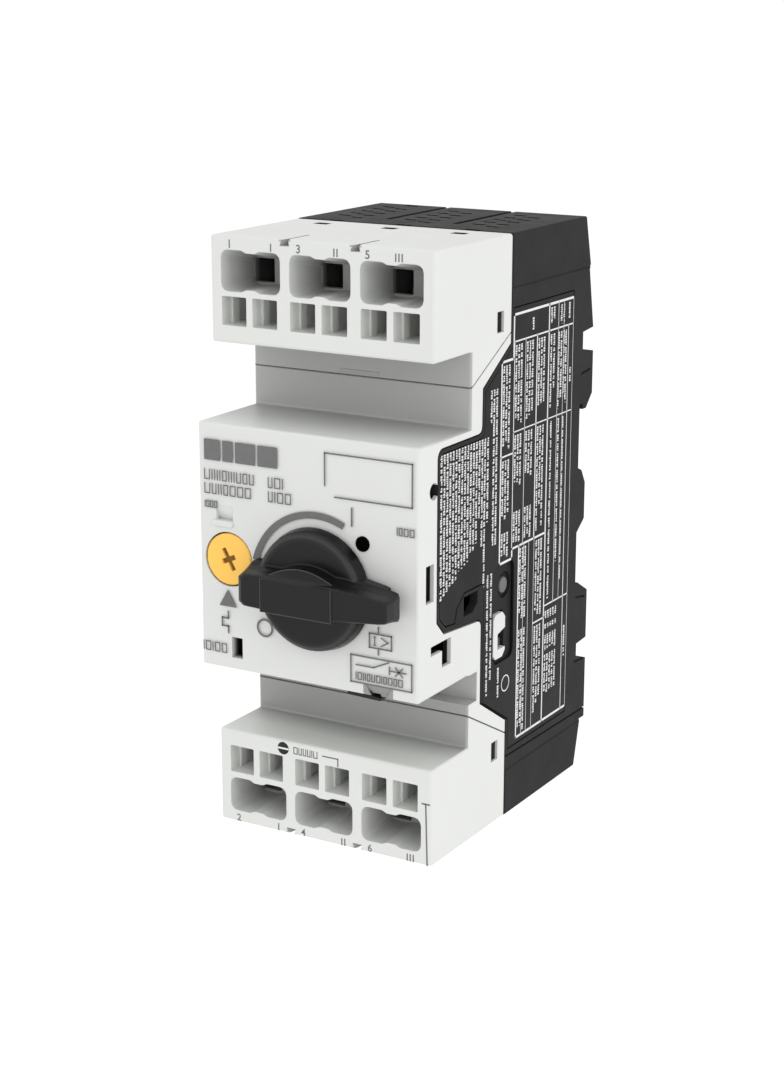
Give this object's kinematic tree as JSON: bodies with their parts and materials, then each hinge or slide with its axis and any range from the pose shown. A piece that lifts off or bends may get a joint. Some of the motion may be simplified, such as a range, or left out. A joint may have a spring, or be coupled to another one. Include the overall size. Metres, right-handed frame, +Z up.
{
  "type": "motor protection breaker",
  "caption": "Rail-mounted motor protection breaker with a rotary on-off knob, a current setting dial, push-in wire entries above and below and a printed side label.",
  "frame": {"origin": "centre of the face that sits on the 35 mm rail", "axes": "X across the width, -Y to the front, +Y to the rail, +Z up"},
  "size_m": [0.045, 0.0754, 0.1095],
  "materials": {
    "pale_cover": "satin moulded",
    "black_housing": "fine grain moulded",
    "label": "satin print film",
    "dark_control": "satin moulded",
    "yellow_dial": "satin moulded",
    "inner_plastic": "moulded",
    "steel": "zinc plated",
    "contact_copper": "stamped copper alloy",
    "bimetal_strip": "rolled strip"
  },
  "bodies": {
    "housing": {"base_housing": "black_housing", "upper_rear_cover": "black_housing", "lower_rear_cover": "black_housing", "front_cover": "pale_cover", "upper_terminal_cover": "pale_cover", "lower_terminal_cover": "pale_cover", "rating_label": "label", "auxiliary_guide": "pale_cover", "mechanism_frame": "steel", "main_spring": "steel", "latch_spring": "steel", "line_bar_1": "contact_copper", "line_bar_2": "contact_copper", "line_bar_3": "contact_copper", "trip_coil_1": "contact_copper", "trip_coil_2": "contact_copper", "trip_coil_3": "contact_copper", "load_bar_1": "contact_copper", "load_bar_2": "contact_copper", "load_bar_3": "contact_copper", "upper_arc_chute_1": "steel", "upper_arc_chute_2": "steel", "upper_arc_chute_3": "steel", "lower_arc_chute_1": "steel", "lower_arc_chute_2": "steel", "lower_arc_chute_3": "steel"},
    "knob": {"rotary_knob": "dark_control", "knob_shaft": "steel"},
    "dial": {"current_dial": "yellow_dial"},
    "test": {"test_slide": "dark_control"},
    "rail_latch": {"din_rail_latch": "dark_control"},
    "lever": {"switching_lever": "steel"},
    "carrier": {"contact_carrier": "inner_plastic", "contact_bridge_1": "contact_copper", "contact_bridge_2": "contact_copper", "contact_bridge_3": "contact_copper", "contact_spring_1": "steel", "contact_spring_2": "steel", "contact_spring_3": "steel"},
    "trip": {"trip_slide": "inner_plastic"},
    "latch": {"latch_lever": "steel"},
    "position": {"position_lever": "dark_control"},
    "striker_body_1": {"striker_1": "steel"},
    "bimetal_body_1": {"bimetal_1": "bimetal_strip"},
    "upper_leaf_1_left": {"upper_clamp_leaf_1_left": "steel"},
    "upper_leaf_1_right": {"upper_clamp_leaf_1_right": "steel"},
    "lower_leaf_1_left": {"lower_clamp_leaf_1_left": "steel"},
    "lower_leaf_1_right": {"lower_clamp_leaf_1_right": "steel"},
    "striker_body_2": {"striker_2": "steel"},
    "bimetal_body_2": {"bimetal_2": "bimetal_strip"},
    "upper_leaf_2_left": {"upper_clamp_leaf_2_left": "steel"},
    "upper_leaf_2_right": {"upper_clamp_leaf_2_right": "steel"},
    "lower_leaf_2_left": {"lower_clamp_leaf_2_left": "steel"},
    "lower_leaf_2_right": {"lower_clamp_leaf_2_right": "steel"},
    "striker_body_3": {"striker_3": "steel"},
    "bimetal_body_3": {"bimetal_3": "bimetal_strip"},
    "upper_leaf_3_left": {"upper_clamp_leaf_3_left": "steel"},
    "upper_leaf_3_right": {"upper_clamp_leaf_3_right": "steel"},
    "lower_leaf_3_left": {"lower_clamp_leaf_3_left": "steel"},
    "lower_leaf_3_right": {"lower_clamp_leaf_3_right": "steel"}
  },
  "joints": [
    {"name": "knob_turn", "type": "hinge", "parent": "housing", "child": "knob", "pos_m": [0.0022, -0.062, -0.0061], "axis": [0, 1, 0], "range_deg": [0, 90]},
    {"name": "dial_turn", "type": "hinge", "parent": "housing", "child": "dial", "pos_m": [-0.0164, -0.062, -0.0035], "axis": [0, 1, 0], "range_deg": [-120, 120]},
    {"name": "test_push", "type": "slide", "parent": "housing", "child": "test", "axis": [1, 0, 0], "range_m": [0, 0.0015], "stiffness_N_per_m": 200},
    {"name": "rail_latch_pull", "type": "slide", "parent": "housing", "child": "rail_latch", "axis": [0, 0, -1], "range_m": [0, 0.0025], "stiffness_N_per_m": 2500, "deforming": ["latch_spring"]},
    {"name": "lever_turn", "type": "hinge", "parent": "housing", "child": "lever", "pos_m": [0.0022, -0.04, 0.008], "axis": [-1, 0, 0], "range_deg": [0, 14.41]},
    {"name": "carrier_slide", "type": "slide", "parent": "housing", "child": "carrier", "axis": [0, 1, 0], "range_m": [0, 0.0034]},
    {"name": "position_slide", "type": "slide", "parent": "housing", "child": "position", "axis": [0, 0, 1], "range_m": [0, 0.001]},
    {"name": "trip_slide_move", "type": "slide", "parent": "housing", "child": "trip", "axis": [1, 0, 0], "range_m": [0, 0.002], "stiffness_N_per_m": 200},
    {"name": "latch_turn", "type": "hinge", "parent": "housing", "child": "latch", "pos_m": [0.0168, -0.0329, -0.004], "axis": [0, -1, 0], "range_deg": [0, 17.01]},
    {"name": "striker_1_push", "type": "slide", "parent": "housing", "child": "striker_body_1", "axis": [0, -1, 0], "range_m": [0, 0.0016], "stiffness_N_per_m": 200},
    {"name": "bimetal_1_bend", "type": "hinge", "parent": "housing", "child": "bimetal_body_1", "pos_m": [-0.0142, -0.0226, -0.0365], "axis": [0, 1, 0], "range_deg": [0, 4.5]},
    {"name": "upper_leaf_1_left_press", "type": "hinge", "parent": "housing", "child": "upper_leaf_1_left", "pos_m": [-0.0177, -0.0444, 0.0396], "axis": [-1, 0, 0], "range_deg": [0, 25], "stiffness_Nm_per_rad": 0.05},
    {"name": "upper_leaf_1_right_press", "type": "hinge", "parent": "housing", "child": "upper_leaf_1_right", "pos_m": [-0.0109, -0.0444, 0.0396], "axis": [-1, 0, 0], "range_deg": [0, 25], "stiffness_Nm_per_rad": 0.05},
    {"name": "lower_leaf_1_left_press", "type": "hinge", "parent": "housing", "child": "lower_leaf_1_left", "pos_m": [-0.0177, -0.0444, -0.0429], "axis": [1, 0, 0], "range_deg": [0, 25], "stiffness_Nm_per_rad": 0.05},
    {"name": "lower_leaf_1_right_press", "type": "hinge", "parent": "housing", "child": "lower_leaf_1_right", "pos_m": [-0.0109, -0.0444, -0.0429], "axis": [1, 0, 0], "range_deg": [0, 25], "stiffness_Nm_per_rad": 0.05},
    {"name": "striker_2_push", "type": "slide", "parent": "housing", "child": "striker_body_2", "axis": [0, -1, 0], "range_m": [0, 0.0016], "stiffness_N_per_m": 200},
    {"name": "bimetal_2_bend", "type": "hinge", "parent": "housing", "child": "bimetal_body_2", "pos_m": [0, -0.0226, -0.0365], "axis": [0, 1, 0], "range_deg": [0, 4.5]},
    {"name": "upper_leaf_2_left_press", "type": "hinge", "parent": "housing", "child": "upper_leaf_2_left", "pos_m": [-0.0035, -0.0444, 0.0396], "axis": [-1, 0, 0], "range_deg": [0, 25], "stiffness_Nm_per_rad": 0.05},
    {"name": "upper_leaf_2_right_press", "type": "hinge", "parent": "housing", "child": "upper_leaf_2_right", "pos_m": [0.0033, -0.0444, 0.0396], "axis": [-1, 0, 0], "range_deg": [0, 25], "stiffness_Nm_per_rad": 0.05},
    {"name": "lower_leaf_2_left_press", "type": "hinge", "parent": "housing", "child": "lower_leaf_2_left", "pos_m": [-0.0035, -0.0444, -0.0429], "axis": [1, 0, 0], "range_deg": [0, 25], "stiffness_Nm_per_rad": 0.05},
    {"name": "lower_leaf_2_right_press", "type": "hinge", "parent": "housing", "child": "lower_leaf_2_right", "pos_m": [0.0033, -0.0444, -0.0429], "axis": [1, 0, 0], "range_deg": [0, 25], "stiffness_Nm_per_rad": 0.05},
    {"name": "striker_3_push", "type": "slide", "parent": "housing", "child": "striker_body_3", "axis": [0, -1, 0], "range_m": [0, 0.0016], "stiffness_N_per_m": 200},
    {"name": "bimetal_3_bend", "type": "hinge", "parent": "housing", "child": "bimetal_body_3", "pos_m": [0.0142, -0.0226, -0.0365], "axis": [0, 1, 0], "range_deg": [0, 4.5]},
    {"name": "upper_leaf_3_left_press", "type": "hinge", "parent": "housing", "child": "upper_leaf_3_left", "pos_m": [0.0107, -0.0444, 0.0396], "axis": [-1, 0, 0], "range_deg": [0, 25], "stiffness_Nm_per_rad": 0.05},
    {"name": "upper_leaf_3_right_press", "type": "hinge", "parent": "housing", "child": "upper_leaf_3_right", "pos_m": [0.0175, -0.0444, 0.0396], "axis": [-1, 0, 0], "range_deg": [0, 25], "stiffness_Nm_per_rad": 0.05},
    {"name": "lower_leaf_3_left_press", "type": "hinge", "parent": "housing", "child": "lower_leaf_3_left", "pos_m": [0.0107, -0.0444, -0.0429], "axis": [1, 0, 0], "range_deg": [0, 25], "stiffness_Nm_per_rad": 0.05},
    {"name": "lower_leaf_3_right_press", "type": "hinge", "parent": "housing", "child": "lower_leaf_3_right", "pos_m": [0.0175, -0.0444, -0.0429], "axis": [1, 0, 0], "range_deg": [0, 25], "stiffness_Nm_per_rad": 0.05}
  ],
  "couplings": [
    {"joint": "lever_turn", "follows": "knob_turn", "ratio": 0.16},
    {"joint": "carrier_slide", "follows": "knob_turn", "m_per_rad": 0.0021645},
    {"joint": "position_slide", "follows": "knob_turn", "m_per_rad": 0.00063662},
    {"joint": "latch_turn", "follows": "trip_slide_move", "rad_per_m": 148.35},
    {"joint": "bimetal_1_bend", "follows": "trip_slide_move", "rad_per_m": 39.27},
    {"joint": "bimetal_2_bend", "follows": "trip_slide_move", "rad_per_m": 39.27},
    {"joint": "bimetal_3_bend", "follows": "trip_slide_move", "rad_per_m": 39.27}
  ]
}
